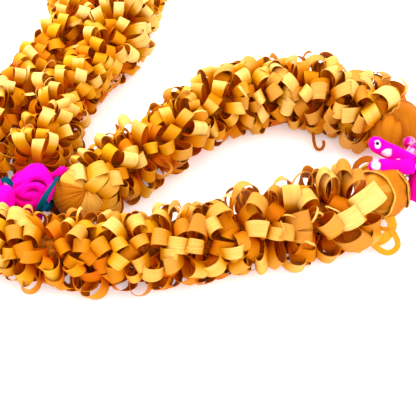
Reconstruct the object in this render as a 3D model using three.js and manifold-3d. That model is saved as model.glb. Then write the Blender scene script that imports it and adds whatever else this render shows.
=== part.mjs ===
// A sandalwood garland lying folded on a table: four strands of looped wood shavings strung on one
// ring of cotton thread, with buds of wrapped shaving at the strands' ends and cloth bows between.
// Millimetres, +Z up. The origin is under the middle of the garland, on the table.
import * as THREE from "three";
import { mergeVertices } from "three/addons/utils/BufferGeometryUtils.js";
import Module from "manifold-3d";

const wasm = await Module();
wasm.setup();

// ---- Driving dimensions ----
const AXIS_HEIGHT = 21; // the thread's height: the loops under it are pressed shorter than the rest
const STRAND_REACH = 26; // from the thread to the tip of a free loop
const SHORTEST_LOOP = 0.86; // as a share of the full reach
const CORE_RADIUS = [12.5, 15]; // the tightly packed roots of the loops
const CORE_SIDES = 7;
const CORE_STEPS = 2;
const SECTIONS_PER_STRAND = 4;
const LOOPS_PER_SECTION = 10;
const END_MARGIN = 6; // from a section's end to the middle of its first loop
const SHAVING_THICKNESS = 0.8;
const SHAVING_WIDTH = [12, 14.5];
const LOOP_HALF_SPREAD = [7, 9]; // half a loop's size along the strand, at its belly
const LOOP_ROOT = 9.5; // how near the thread a loop's pinched ends are sunk
const LOOP_MOUTH = 15; // where the loop's opening starts, just outside the core
const LEAST_OPENING = 2.5; // a loop with no room to open this far is left out
const GOLDEN_ANGLE = Math.PI * (3 - Math.sqrt(5));
const ANGLE_JITTER = 0.12;
const MAX_TWIST = 0.5; // how far a loop turns about its own stem, in radians
const THREAD_RADIUS = 0.9;
const THREAD_STEP = 14;
const THREAD_SIDES = 4;
const BORE_CLEARANCE = 0.6;
const BUD_HALF_LENGTH = 17;
const BUD_RADIUS = 17.5;
const BUD_PLEATS = 7;
const BUD_RINGS = 6;
const PLEAT_DEPTH = 0.04;
const WRAP_STEP = 0.11; // how far the wrapped sheet's end stands above the turn below it
const PLEAT_TURN = 0.9; // radians that the pleats turn from one end of the bud to the other
const BOW_HALF_LENGTH = 8; // half of a bow's size along the thread
const BOW_KNOT_RADII = [6.5, 8];
const BOW_LOOPS = 5;
const BOW_REACH = 24;
const RIBBON_THICKNESS = 1.6;
const RIBBON_WIDTH = 10;
const COLLAR_THICKNESS = 2.2; // the teal ribbon tied round the thread beside each bow
const COLLAR_RADIUS = 8;
const COLLAR_TAIL_REACH = 19;
const COLLAR_TAIL_WIDTH = 8;
const COLLAR_TAIL_ANGLES = [0.75, 2.0];
const COLLAR_CORNER_TURN = 0.6; // about the turn between two corners of the round part
const GAP = 0.3; // between pieces that touch
const TABLE_CLEARANCE = 0.5; // under every loop but the feet

// The thread's way in plan. Each strand's path starts and ends in the middle of its bud, or at its
// last loop if it has none. Each bow lies across its middle point, along its heading (in degrees).
// The garland is a ring: the last bow leads back to the first strand.
const STRANDS = [
  {
    name: "neck_right",
    path: [[-56, 262], [-57, 240], [-62, 210], [-70, 175], [-81, 142], [-97, 110], [-109, 80],
      [-114.5, 54], [-115.5, 33]],
    buds: ["start"],
    bow: { name: "side_right", at: [-113, 11], heading: -15 },
  },
  {
    name: "drop_right",
    path: [[-83, 15.5], [-70, 29], [-53, 44], [-33, 59], [-6, 84], [23, 102], [51, 106.5], [80, 103],
      [108, 92], [131, 75]],
    buds: ["start", "end"],
    bow: { name: "bottom", at: [139, 43], heading: -95 },
  },
  {
    name: "drop_left",
    path: [[114.5, 15.5], [89, -3], [59, -11], [27, -18], [-5, -29], [-37, -34], [-68, -37],
      [-99, -34.5], [-122, -31], [-145, -24]],
    buds: ["start", "end"],
    bow: { name: "side_left", at: [-152, 5], heading: 90 },
  },
  {
    name: "neck_left",
    path: [[-155.5, 27], [-153.5, 55], [-146, 89], [-133, 124], [-116.5, 155], [-106, 186], [-99, 218],
      [-95, 243], [-94, 262]],
    buds: ["end"],
    bow: { name: "top", at: [-75, 285], heading: 0 },
  },
];

// ---- Materials ----
const WOOD = new THREE.MeshStandardMaterial({ color: 0xe2a03c, roughness: 0.55 });
const BUD_WOOD = new THREE.MeshStandardMaterial({ color: 0xcf8436, roughness: 0.6 });
const MAGENTA_CLOTH = new THREE.MeshStandardMaterial({ color: 0xf20fc0, roughness: 0.8 });
const TEAL_RIBBON = new THREE.MeshStandardMaterial({ color: 0x0b5470, roughness: 0.7 });
const COTTON = new THREE.MeshStandardMaterial({ color: 0xd9c8a4, roughness: 0.9 });

// ---- Helpers ----
let seed = 20;
function random(low = 0, high = 1) {
  seed = (seed * 16807) % 2147483647;
  return low + ((high - low) * seed) / 2147483647;
}

function solidOf(geometry) {
  geometry.deleteAttribute("normal");
  geometry.deleteAttribute("uv");
  const merged = mergeVertices(geometry, 1e-4);
  return new wasm.Manifold(
    new wasm.Mesh({
      numProp: 3,
      vertProperties: new Float32Array(merged.attributes.position.array),
      triVerts: new Uint32Array(merged.index.array),
    }),
  );
}

// The outer body alone: any pocket sealed inside it is filled, and any loose crumb is dropped.
function outerBody(solid) {
  return solid.decompose().reduce((a, b) => (a.volume() > b.volume() ? a : b));
}

function geometryOf(solid) {
  const { vertProperties, triVerts } = solid.getMesh();
  return new THREE.BufferGeometry()
    .setAttribute("position", new THREE.BufferAttribute(vertProperties, 3))
    .setIndex(new THREE.BufferAttribute(triVerts, 1));
}

function mapVertices(geometry, place) {
  const position = geometry.attributes.position;
  const point = new THREE.Vector3();
  for (let i = 0; i < position.count; i++) {
    point.fromBufferAttribute(position, i);
    position.setXYZ(i, ...place(point).toArray());
  }
  return geometry;
}

// A strip folded into a loop, its two ends pinched together: x is across the loop, y is out from the
// pinch (`root`) past the start of the opening (`mouth`) to the tip, and z is the strip's width. The
// tip is flat, for a loop that something rests on.
function foldedLoop({ halfSpread, root, mouth, tip, thickness, width }) {
  const belly = mouth + 0.45 * (tip - mouth);
  const outside = [[0.8 * thickness, root], [halfSpread, belly], [0.5 * halfSpread, tip]];
  const shape = new THREE.Shape(mirrored(outside));
  const inside = [
    [0, mouth],
    [halfSpread - 1.1 * thickness, belly],
    [0.5 * halfSpread - 0.4 * thickness, tip - thickness],
  ];
  shape.holes.push(new THREE.Path(mirrored(inside)));
  const depth = { depth: width, steps: 1, bevelEnabled: false };
  return new THREE.ExtrudeGeometry(shape, depth).translate(0, 0, -width / 2);
}

// A closed outline from its right-hand half, whose points run from the bottom to the top.
function mirrored(half) {
  const left = half.filter(([x]) => x > 0).toReversed();
  return [...half, ...left.map(([x, y]) => [-x, y])].map(([x, y]) => new THREE.Vector2(x, y));
}

// ---- The thread's route ----
function bowPoints({ at: [x, y], heading }) {
  const angle = THREE.MathUtils.degToRad(heading);
  return [-1, 1].map((end) => [
    x + end * BOW_HALF_LENGTH * Math.cos(angle),
    y + end * BOW_HALF_LENGTH * Math.sin(angle),
  ]);
}

const routePoints = STRANDS.flatMap(({ path, bow }) => [...path, ...bowPoints(bow)]);
const route = new THREE.CatmullRomCurve3(
  routePoints.map(([x, y]) => new THREE.Vector3(x, y, AXIS_HEIGHT)),
  true,
  "centripetal",
);
const LENGTH_STEPS = 24; // length samples between two route points
route.arcLengthDivisions = LENGTH_STEPS * routePoints.length;
const routeLength = route.getLength();
const lengthTo = (pointIndex) => route.getLengths()[pointIndex * LENGTH_STEPS];
const shareOfRoute = (s) => (((s / routeLength) % 1) + 1) % 1;

// The point at length s, with the directions along the thread, level to its left, and up.
function frameAt(s) {
  const along = route.getTangentAt(shareOfRoute(s));
  const up = new THREE.Vector3(0, 0, 1);
  return { point: route.getPointAt(shareOfRoute(s)), along, left: up.clone().cross(along), up };
}

// The point at length s, `out` from the thread in the direction `angle`, and `across` to its side.
function pointNear(s, angle, out, across = 0) {
  const { point, left, up } = frameAt(s);
  return point
    .addScaledVector(left, out * Math.cos(angle) - across * Math.sin(angle))
    .addScaledVector(up, out * Math.sin(angle) + across * Math.cos(angle));
}

// Places for pieces on the thread at s: some bend with it, and the bows are stiff and stay straight.
const bentWithThread = (s) => (along, angle, out, across) => pointNear(s + along, angle, out, across);
function straightAt(s) {
  const direction = frameAt(s).along;
  return (along, angle, out, across) => pointNear(s, angle, out, across).addScaledVector(direction, along);
}

// A bar round the thread. Each corner of its rings stands at its own random radius.
function packedBar(place, from, to, [inner, outer], sides, steps) {
  const radii = Array.from({ length: sides * (steps + 1) }, () => random(inner, outer));
  const bar = new THREE.CylinderGeometry(1, 1, 1, sides, steps).rotateX(Math.PI / 2);
  return mapVertices(bar, ({ x, y, z }) => {
    const ring = Math.round((z + 0.5) * steps);
    const angle = Math.atan2(y, x);
    const side = (Math.round((angle / (2 * Math.PI) + 0.25) * sides) + sides) % sides;
    const radius = Math.hypot(x, y) < 0.5 ? 0 : radii[ring * sides + side];
    return place(from + (z + 0.5) * (to - from), angle, radius, 0);
  });
}

const THREAD_STEPS = Math.round(routeLength / THREAD_STEP);
const threadTube = (radius) => new THREE.TubeGeometry(route, THREAD_STEPS, radius, THREAD_SIDES, true);
const bore = solidOf(threadTube(THREAD_RADIUS + BORE_CLEARANCE));

// ---- Where the strands, buds and bows lie along the route ----
let pointsBefore = 0;
const strands = STRANDS.map(({ name, path, buds, bow }) => {
  const start = lengthTo(pointsBefore);
  const end = lengthTo(pointsBefore + path.length - 1);
  const bowAt = (lengthTo(pointsBefore + path.length) + lengthTo(pointsBefore + path.length + 1)) / 2;
  pointsBefore += path.length + 2;
  const inset = BUD_HALF_LENGTH + GAP;
  return {
    name,
    from: buds.includes("start") ? start + inset : start,
    to: buds.includes("end") ? end - inset : end,
    buds: buds.map((which) => ({ which, at: which === "start" ? start : end })),
    bow: { name: bow.name, at: bowAt },
  };
});

// What stands round the thread at each length s, and how far out it reaches.
const NEIGHBOUR_STEP = 6;
const NEARBY = 34; // pieces nearer than this along the thread each keep to their own length of it
const occupants = strands
  .flatMap(({ from, to, buds, bow }) => [
    ...Array.from({ length: Math.ceil((to - from) / NEIGHBOUR_STEP) }, (_, i) => [
      from + i * NEIGHBOUR_STEP,
      STRAND_REACH,
    ]),
    ...buds.map(({ at }) => [at, BUD_RADIUS]),
    [bow.at, BOW_REACH],
  ])
  .map(([s, reach]) => ({ s, reach, centre: frameAt(s).point }));

function lengthBetween(s, other) {
  const apart = Math.abs(s - other) % routeLength;
  return Math.min(apart, routeLength - apart);
}

// How far a piece at s may stand from the thread before it meets the table or the space of a
// neighbour. Its size along the thread and its width round the thread count in full.
function reachLimit(s, angle, size, width, ownReach) {
  const { point } = frameAt(s);
  const out = pointNear(s, angle, 1).sub(point);
  const neighbours = occupants.filter((each) => lengthBetween(s, each.s) > NEARBY);
  let limit = Infinity;
  for (const [end, edge] of [[-1, -1], [-1, 1], [1, -1], [1, 1]]) {
    const corner = pointNear(s + (end * size) / 2, angle, 0, (edge * width) / 2).sub(point);
    if (out.z < 0) limit = Math.min(limit, (AXIS_HEIGHT + corner.z - TABLE_CLEARANCE) / -out.z);
    for (const { centre, reach } of neighbours) {
      const apart = centre.clone().sub(point);
      const share = (apart.lengthSq() + ownReach ** 2 - reach ** 2) / 2;
      if (out.dot(apart) > 0) limit = Math.min(limit, (share - corner.dot(apart)) / out.dot(apart) - GAP);
    }
  }
  return limit;
}

// A folded loop standing on the thread, turned by `twist` about its own stem.
function loopOn(place, angle, twist, loop) {
  return mapVertices(foldedLoop(loop), ({ x, y, z }) => {
    const alongThread = x * Math.cos(twist) - z * Math.sin(twist);
    const across = x * Math.sin(twist) + z * Math.cos(twist);
    return place(alongThread, angle, y, across);
  });
}

// ---- One section of a strand: the packed core with its loops ----
const DOWN = -Math.PI / 2;
let loopsMade = 0;

// The angles of a section's loops. Of the middle ones, the one that points most nearly straight down
// is turned to do so: it is the foot that the section lies on.
function loopAngles() {
  const angles = Array.from({ length: LOOPS_PER_SECTION }, () => {
    const turn = GOLDEN_ANGLE * loopsMade++ + random(-ANGLE_JITTER, ANGLE_JITTER);
    return Math.atan2(Math.sin(turn), Math.cos(turn));
  });
  const edge = Math.floor(LOOPS_PER_SECTION / 4);
  const fromDown = angles.map((angle) => Math.abs(angle - DOWN));
  const foot = fromDown.indexOf(Math.min(...fromDown.slice(edge, -edge)));
  return angles.map((angle, i) => ({ angle: i === foot ? DOWN : angle, isFoot: i === foot }));
}

function strandLoop(s, { angle, isFoot }, from, to) {
  const width = random(...SHAVING_WIDTH);
  const twist = isFoot ? 0 : random(-MAX_TWIST, MAX_TWIST);
  const sine = Math.abs(Math.sin(twist));
  const room = Math.min(s - from, to - s) - GAP;
  const mostSpread = (room - (width / 2) * sine) / Math.cos(twist);
  const halfSpread = Math.min(random(...LOOP_HALF_SPREAD), mostSpread);
  const widthAcross = width * Math.cos(twist) + 2 * halfSpread * sine;
  const freeTip = random(SHORTEST_LOOP, 1) * STRAND_REACH;
  const mostReach = reachLimit(s, angle, 2 * halfSpread, widthAcross, STRAND_REACH);
  const tip = isFoot ? AXIS_HEIGHT : Math.min(freeTip, mostReach);
  if (tip < LOOP_MOUTH + LEAST_OPENING) return null;
  const shape = { halfSpread, root: LOOP_ROOT, mouth: LOOP_MOUTH, tip, thickness: SHAVING_THICKNESS, width };
  return loopOn(bentWithThread(s), angle, twist, shape);
}

function strandSection(from, to) {
  const step = (to - from - 2 * END_MARGIN) / (LOOPS_PER_SECTION - 1);
  let solid = solidOf(packedBar(bentWithThread(from), 0, to - from, CORE_RADIUS, CORE_SIDES, CORE_STEPS));
  loopAngles().forEach((loop, i) => {
    const s = from + END_MARGIN + i * step;
    const geometry = strandLoop(s, loop, from, to);
    if (geometry) solid = solid.add(solidOf(geometry));
  });
  return outerBody(solid.subtract(bore));
}

// ---- A bud: a wide shaving wrapped and pleated into a ball round the thread ----
function bud(s) {
  const sides = 2 * BUD_PLEATS;
  const ball = new THREE.SphereGeometry(1, sides, BUD_RINGS).rotateX(Math.PI / 2);
  mapVertices(ball, ({ x, y, z }) => {
    const angle = Math.atan2(y, x);
    const side = (Math.round((angle / (2 * Math.PI)) * sides) + sides) % sides;
    const pleat = side % 2 ? PLEAT_DEPTH : -PLEAT_DEPTH;
    const wrap = WRAP_STEP * (side / sides - 0.5);
    const radius = BUD_RADIUS * Math.hypot(x, y) * (1 + pleat + wrap);
    return pointNear(s + BUD_HALF_LENGTH * z, angle + PLEAT_TURN * z, radius);
  });
  return outerBody(solidOf(ball).subtract(bore));
}

// ---- A bow: loops of cloth ribbon fanned over a knot ----
function bow(s) {
  const place = straightAt(s);
  let solid = solidOf(packedBar(place, -BOW_HALF_LENGTH, BOW_HALF_LENGTH, BOW_KNOT_RADII, 8, 2));
  for (let i = 0; i < BOW_LOOPS; i++) {
    const angle = (Math.PI * i) / (BOW_LOOPS - 1);
    const twist = random(-MAX_TWIST, MAX_TWIST) / 2;
    const freeTip = random(SHORTEST_LOOP, 1) * BOW_REACH;
    const loop = {
      halfSpread: BOW_HALF_LENGTH - (RIBBON_WIDTH / 2) * Math.abs(Math.sin(twist)) - RIBBON_THICKNESS / 2,
      root: BOW_KNOT_RADII[0] / 2,
      mouth: BOW_KNOT_RADII[1],
      tip: Math.min(freeTip, reachLimit(s, angle, 2 * BOW_HALF_LENGTH, 1.5 * RIBBON_WIDTH, BOW_REACH)),
      thickness: RIBBON_THICKNESS,
      width: RIBBON_WIDTH,
    };
    solid = solid.add(solidOf(loopOn(place, angle, twist, loop)));
  }
  return outerBody(solid.subtract(bore));
}

// ---- The second ribbon: a collar tied round the thread beside the bow, its two ends standing out ----
function collar(s, from) {
  const place = straightAt(s);
  const polar = (radius, angle) => new THREE.Vector2(radius * Math.cos(angle), radius * Math.sin(angle));
  const outline = COLLAR_TAIL_ANGLES.flatMap((angle, i) => {
    const limit = reachLimit(s + from, angle, 2 * COLLAR_THICKNESS, COLLAR_TAIL_WIDTH, BOW_REACH);
    const length = Math.min(COLLAR_TAIL_REACH, limit);
    const rootTurn = Math.asin(COLLAR_TAIL_WIDTH / 2 / COLLAR_RADIUS);
    const tipTurn = Math.asin(COLLAR_TAIL_WIDTH / 2 / length);
    const tail = [
      polar(COLLAR_RADIUS, angle - rootTurn),
      polar(length, angle - tipTurn),
      polar(length, angle + tipTurn),
      polar(COLLAR_RADIUS, angle + rootTurn),
    ];
    const next = COLLAR_TAIL_ANGLES[i + 1] ?? COLLAR_TAIL_ANGLES[0] + 2 * Math.PI;
    const bare = next - angle - 2 * rootTurn;
    const corners = Math.floor(bare / COLLAR_CORNER_TURN);
    const arc = Array.from({ length: corners }, (_, corner) =>
      polar(COLLAR_RADIUS, angle + rootTurn + (bare * (corner + 1)) / (corners + 1)),
    );
    return [...tail, ...arc];
  });
  const shape = new THREE.Shape(outline);
  const disc = new THREE.ExtrudeGeometry(shape, { depth: COLLAR_THICKNESS, steps: 1, bevelEnabled: false });
  mapVertices(disc, ({ x, y, z }) => place(from + z, 0, x, y));
  return outerBody(solidOf(disc).subtract(bore));
}

// ---- Assembly ----
const garland = new THREE.Group();

function addPiece(name, solid, material) {
  const mesh = new THREE.Mesh(geometryOf(solid), material);
  mesh.name = name;
  garland.add(mesh);
}

for (const strand of strands) {
  const length = (strand.to - strand.from) / SECTIONS_PER_STRAND;
  for (let i = 0; i < SECTIONS_PER_STRAND; i++) {
    const from = strand.from + i * length + GAP / 2;
    const to = strand.from + (i + 1) * length - GAP / 2;
    addPiece(`${strand.name}_loops_${i + 1}`, strandSection(from, to), WOOD);
  }
  for (const { which, at } of strand.buds) addPiece(`${strand.name}_bud_${which}`, bud(at), BUD_WOOD);
  const { name, at } = strand.bow;
  addPiece(`${name}_bow`, bow(at), MAGENTA_CLOTH);
  addPiece(`${name}_collar`, collar(at, BOW_HALF_LENGTH + GAP), TEAL_RIBBON);
}
addPiece("thread", solidOf(threadTube(THREAD_RADIUS)), COTTON);

const box = new THREE.Box3().setFromObject(garland);
const middle = box.getCenter(new THREE.Vector3());
garland.position.set(-middle.x, -middle.y, -box.min.z);

export default garland;
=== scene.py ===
"""A sandalwood garland on a pale table: strands of looped veneer shavings, wrapped buds, cloth bows.

Lengths are in millimetres until a mesh is made, and in the row frame except where the plan of the
garland, as drawn in the CAD source, is meant.
"""
import math

import bpy
import numpy as np
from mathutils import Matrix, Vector


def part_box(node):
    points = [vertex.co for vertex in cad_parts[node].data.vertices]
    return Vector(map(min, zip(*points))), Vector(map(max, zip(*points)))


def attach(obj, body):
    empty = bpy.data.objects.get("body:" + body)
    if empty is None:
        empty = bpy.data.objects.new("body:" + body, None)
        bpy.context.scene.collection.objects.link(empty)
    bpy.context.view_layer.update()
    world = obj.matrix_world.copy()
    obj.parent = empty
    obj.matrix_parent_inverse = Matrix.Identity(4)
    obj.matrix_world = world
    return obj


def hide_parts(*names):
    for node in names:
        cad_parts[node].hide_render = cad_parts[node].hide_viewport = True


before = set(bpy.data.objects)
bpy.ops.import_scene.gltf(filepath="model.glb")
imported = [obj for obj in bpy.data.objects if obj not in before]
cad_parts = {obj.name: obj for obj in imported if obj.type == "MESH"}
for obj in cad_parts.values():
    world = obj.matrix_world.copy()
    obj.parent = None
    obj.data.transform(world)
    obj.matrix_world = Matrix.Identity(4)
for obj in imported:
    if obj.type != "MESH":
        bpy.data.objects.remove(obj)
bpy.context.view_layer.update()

MM = 0.001
TURN = 2 * math.pi
rng = np.random.default_rng(11)

# ---- The garland's plan, the same as in the CAD source ----
AXIS_HEIGHT = 21.0
STRAND_REACH = 26.0
BUD_HALF_LENGTH = 17.0
BUD_RADIUS = 17.5
BOW_HALF_LENGTH = 8.0
SECTIONS = 4
# Each strand, in the order in which the thread runs: the path of its middle, the ends that have a bud,
# then the bow that follows, with that bow's middle and its heading in degrees. sizes and ages are
# those of the shavings at the strand's two ends, where 1 is the usual size and a higher browning makes
# the shavings browner. seed starts the strand's own random draws.
STRANDS = [
    dict(
        name="neck_right", buds=["start"], bow="side_right", at=(-113, 11), heading=-15,
        sizes=(0.95, 0.93), ages=(-0.15, -0.05), seed=1,
        path=[(-56, 262), (-57, 240), (-62, 210), (-70, 175), (-81, 142), (-97, 110), (-109, 80),
              (-114.5, 54), (-115.5, 33)]),
    dict(
        name="drop_right", buds=["start", "end"], bow="bottom", at=(139, 43), heading=-95,
        sizes=(0.95, 1.2), ages=(0.05, 0.6), seed=9,
        path=[(-83, 15.5), (-70, 29), (-53, 44), (-33, 59), (-6, 84), (23, 102), (51, 106.5),
              (80, 103), (108, 92), (131, 75)]),
    dict(
        name="drop_left", buds=["start", "end"], bow="side_left", at=(-152, 5), heading=90,
        sizes=(1.22, 0.95), ages=(0.85, 0.4), seed=5,
        path=[(114.5, 15.5), (89, -3), (59, -11), (27, -18), (-5, -29), (-37, -34), (-68, -37),
              (-99, -34.5), (-122, -31), (-145, -24)]),
    dict(
        name="neck_left", buds=["end"], bow="top", at=(-75, 285), heading=0,
        sizes=(0.93, 0.95), ages=(-0.1, -0.1), seed=1,
        path=[(-155.5, 27), (-153.5, 55), (-146, 89), (-133, 124), (-116.5, 155), (-106, 186),
              (-99, 218), (-95, 243), (-94, 262)]),
]


# ---- The thread's route: a closed centripetal Catmull-Rom curve ----
SPLINE_STEPS = 60


def spline_span(p0, p1, p2, p3):
    """Points of the curve from p1 up to p2."""
    d0, d1, d2 = (max(np.hypot(*(b - a)) ** 0.5, 1e-4) for a, b in ((p0, p1), (p1, p2), (p2, p3)))
    m1 = ((p1 - p0) / d0 - (p2 - p0) / (d0 + d1) + (p2 - p1) / d1) * d1
    m2 = ((p2 - p1) / d1 - (p3 - p1) / (d1 + d2) + (p3 - p2) / d2) * d1
    t = (np.arange(SPLINE_STEPS) / SPLINE_STEPS)[:, None]
    return p1 + m1 * t + (3 * (p2 - p1) - 2 * m1 - m2) * t**2 + (2 * (p1 - p2) + m1 + m2) * t**3


def bow_points(strand):
    """The two points in plan between which the thread runs through the bow."""
    turn = math.radians(strand["heading"])
    step = BOW_HALF_LENGTH * np.array([math.cos(turn), math.sin(turn)])
    return [np.array(strand["at"]) - step, np.array(strand["at"]) + step]


def make_route():
    """The route's points, the length up to each, and the length up to each point it was drawn through."""
    points = [np.array(p, float) for strand in STRANDS for p in [*strand["path"], *bow_points(strand)]]
    n = len(points)
    curve = np.vstack([spline_span(*(points[(i + k) % n] for k in (-1, 0, 1, 2))) for i in range(n)])
    closed = np.vstack([curve, curve[:1]])
    lengths = np.concatenate([[0], np.cumsum(np.hypot(*np.diff(closed, axis=0).T))])
    return closed, lengths, lengths[::SPLINE_STEPS]


route_points, route_lengths, point_lengths = make_route()
ROUTE_LENGTH = route_lengths[-1]
thread_low, thread_high = (np.array(corner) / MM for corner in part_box("thread"))
plan_middle = (route_points.min(0) + route_points.max(0)) / 2
SHIFT = (thread_low + thread_high)[:2] / 2 - plan_middle


def unit(vectors):
    """The same directions with length 1, for one vector or an array of them."""
    return vectors / np.maximum(np.linalg.norm(vectors, axis=-1, keepdims=True), 1e-9)


def square_to(axes, vector):
    """The direction nearest to the vector that is at right angles to the axis, or to each of the axes."""
    return unit(vector - (axes @ np.array(vector, float))[..., None] * axes)


def span(*parts):
    """The sum of directions, each times its grid of lengths."""
    return sum(lengths[..., None] * direction for lengths, direction in parts)


def route_at(s):
    """Points of the route as drawn, at lengths s that may run on round the ring."""
    s = np.mod(s, ROUTE_LENGTH)
    return np.stack([np.interp(s, route_lengths, route_points[:, i]) for i in (0, 1)], -1)


def on_route(s):
    """Position in plan and direction at length s, for arrays of any shape."""
    return route_at(s) + SHIFT, unit(route_at(s + 1.0) - route_at(s - 1.0))


def near(s, angle, out, across=0.0):
    """The point `out` from the thread at length s in the direction `angle`, and `across` to its side."""
    at, along = on_route(s)
    level = out * np.cos(angle) - across * np.sin(angle)
    height = out * np.sin(angle) + across * np.cos(angle)
    x = at[..., 0] - along[..., 1] * level
    y = at[..., 1] + along[..., 0] * level
    return np.stack([x, y, AXIS_HEIGHT + height], -1)


# ---- Where each strand, bud and bow lies ----
first_point = 0
for strand in STRANDS:
    start = point_lengths[first_point]
    end = point_lengths[first_point + len(strand["path"]) - 1]
    before, after = point_lengths[first_point + len(strand["path"]):][:2]
    strand["bow_s"] = (before + after) / 2
    strand["bud_s"] = {"start": start, "end": end}
    strand["from"] = start + (BUD_HALF_LENGTH if "start" in strand["buds"] else 0)
    strand["to"] = end - (BUD_HALF_LENGTH if "end" in strand["buds"] else 0)
    first_point += len(strand["path"]) + 2


def plan(x, y, z):
    """A point given in the plan's coordinates, in the row frame."""
    return np.array([x + SHIFT[0], y + SHIFT[1], z], float)


def grid_axes(down, across):
    """Even steps down and across a grid, each given as (from, to, count)."""
    return np.linspace(*down)[:, None], np.linspace(*across)[None]


def smooth(values, rounds, keep=1 / 3):
    """Evens out a row of values or points, and leaves its two ends where they are."""
    for _ in range(rounds):
        values[1:-1] = (1 - keep) / 2 * (values[:-2] + values[2:]) + keep * values[1:-1]
    return values


# ---- Meshes ----
def make_object(name, vertices, faces, material, uv=None, shade=None, sharp=40):
    """A mesh object from corners in millimetres; edges of more than `sharp` degrees stay sharp."""
    mesh = bpy.data.meshes.new(name)
    mesh.from_pydata((np.asarray(vertices) * MM).tolist(), [], [list(map(int, face)) for face in faces])
    mesh.materials.append(material)
    if uv is not None:
        corner = np.zeros(len(mesh.loops), np.int32)
        mesh.loops.foreach_get("vertex_index", corner)
        layer = mesh.uv_layers.new(name="strip")
        layer.data.foreach_set("uv", np.asarray(uv, np.float32)[corner].ravel())
    if shade is not None:
        colour = np.ones((len(vertices), 4), np.float32)
        colour[:, :3] = shade
        layer = mesh.color_attributes.new(name="shade", type="FLOAT_COLOR", domain="POINT")
        layer.data.foreach_set("color", colour.ravel())
    mesh.shade_smooth()
    mesh.set_sharp_from_angle(angle=math.radians(sharp))
    mesh.update()
    return add_to_scene(bpy.data.objects.new(name, mesh))


def add_to_scene(obj):
    bpy.context.scene.collection.objects.link(obj)
    return obj


def place(obj, slot, *nodes):
    """Fixes a piece to the garland and hides the CAD nodes that it stands for; slot is not used."""
    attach(obj, "root")
    if nodes:
        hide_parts(*nodes)
    return obj


class Pile:
    """Many small closed solids gathered into one mesh."""

    def __init__(self):
        self.vertices, self.faces, self.uv, self.shade, self.count = [], [], [], [], 0

    def add(self, vertices, faces, uv, shade):
        self.vertices.append(np.asarray(vertices).reshape(-1, 3))
        self.faces.extend((np.asarray(faces) + self.count).tolist())
        self.uv.append(np.asarray(uv).reshape(-1, 2))
        self.shade.append(np.asarray(shade).reshape(-1, 3))
        self.count += len(self.vertices[-1])

    def build(self, name, material, sharp=40):
        corners, uv, shade = (np.vstack(parts) for parts in (self.vertices, self.uv, self.shade))
        return make_object(name, corners, self.faces, material, uv, shade, sharp)


def quads(index, wrap=(0, 0)):
    """Faces between neighbours in a grid of vertex numbers, closed where wrap says (down, across)."""
    index = np.pad(index, [(0, closed) for closed in wrap], "wrap")
    return np.stack([index[:-1, :-1], index[:-1, 1:], index[1:, 1:], index[1:, :-1]], -1).reshape(-1, 4)


def slab_faces(rows, columns):
    """Faces of a closed slab whose two skins are grids of rows x columns vertices, upper skin first."""
    both = np.arange(2 * rows * columns).reshape(2, rows, columns)
    grids = (both[0], both[1].T, both[:, :, 0], both[:, :, -1].T, both[:, 0].T, both[:, -1])
    return np.vstack([quads(grid) for grid in grids])


def slab(points, thickness):
    """Vertices of the two skins of a sheet whose middle is a grid of points, shape (rows, columns, 3)."""
    normal = unit(np.cross(np.gradient(points, axis=1), np.gradient(points, axis=0)))
    return np.stack([points + normal * thickness / 2, points - normal * thickness / 2])


# ---- Materials ----
class Nodes:
    """A node material whose single shader is a Principled BSDF."""

    def __init__(self, name, roughness, **constants):
        self.material = bpy.data.materials.new(name)
        self.material.use_nodes = True
        self.tree = self.material.node_tree
        self.shader = self.tree.nodes["Principled BSDF"]
        self.shader.inputs["Roughness"].default_value = roughness
        for socket, value in constants.items():
            self.shader.inputs[socket.replace("_", " ")].default_value = value

    def node(self, kind, inputs=(), **settings):
        """A new node; each input is another node's output, which is linked, or a plain value."""
        made = self.tree.nodes.new(kind)
        for name, value in settings.items():
            setattr(made, name, value)
        for socket, value in dict(inputs).items():
            if isinstance(value, bpy.types.NodeSocket):
                self.tree.links.new(value, made.inputs[socket])
            else:
                made.inputs[socket].default_value = value
        return made

    def link(self, output, socket):
        self.tree.links.new(output, self.shader.inputs[socket])

    def position(self):
        return self.node("ShaderNodeNewGeometry").outputs["Position"]

    def noise(self, vector, scale, detail=3.0, roughness=0.55):
        inputs = {"Vector": vector, "Scale": scale, "Detail": detail, "Roughness": roughness}
        return self.node("ShaderNodeTexNoise", inputs).outputs["Fac"]

    def stretched(self, vector, scale):
        return self.node("ShaderNodeMapping", {"Vector": vector, "Scale": scale}).outputs["Vector"]

    def remap(self, value, low, high, to_low=0.0, to_high=1.0):
        inputs = {"Value": value, "From Min": low, "From Max": high, "To Min": to_low, "To Max": to_high}
        return self.node("ShaderNodeMapRange", inputs).outputs["Result"]

    def mix(self, factor, a, b):
        """Colour a where the factor is 0, and b where it is 1."""
        a, b = (value if isinstance(value, bpy.types.NodeSocket) else (*value, 1.0) for value in (a, b))
        return self.node("ShaderNodeMix", {0: factor, 6: a, 7: b}, data_type="RGBA").outputs[2]

    def math(self, operation, a, b):
        return self.node("ShaderNodeMath", {0: a, 1: b}, operation=operation).outputs[0]

    def bump(self, height, strength, distance):
        inputs = {"Height": height, "Strength": strength, "Distance": distance}
        self.link(self.node("ShaderNodeBump", inputs).outputs["Normal"], "Normal")

    def shade(self):
        """The three values stored on each point: a random tint, how far out it is, and how much painted
        shade it takes.
        """
        attribute = self.node("ShaderNodeAttribute", attribute_name="shade").outputs["Color"]
        return self.node("ShaderNodeSeparateColor", {"Color": attribute}).outputs


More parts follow.
